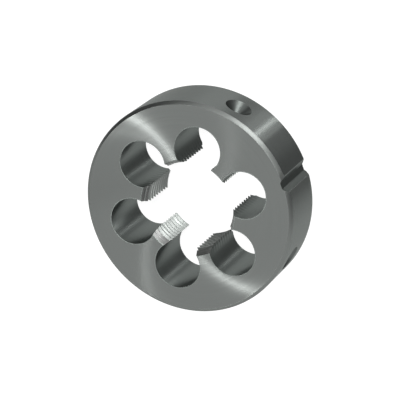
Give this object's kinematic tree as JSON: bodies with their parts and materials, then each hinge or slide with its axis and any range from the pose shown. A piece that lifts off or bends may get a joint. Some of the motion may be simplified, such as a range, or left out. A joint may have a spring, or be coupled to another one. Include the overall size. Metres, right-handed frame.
{
  "type": "round threading die",
  "caption": "Round steel die with a threaded bore, chip holes around it, and a groove and conical screw seats in its rim, for cutting an outside thread on a rod.",
  "frame": {"origin": "centre of the back face, on the die's axis; the die lies flat on that face", "axes": "+Z along the axis, out of the front face where the rod enters; -Y from the centre towards the setting groove in the rim"},
  "size_m": [0.055, 0.0549, 0.016],
  "materials": {
    "tool_steel": "ground tool steel, hardened: fine turning marks on the faces, bright cut teeth, darker drilled walls"
  },
  "bodies": {
    "root": {"threading_die": "tool_steel"}
  },
  "joints": []
}
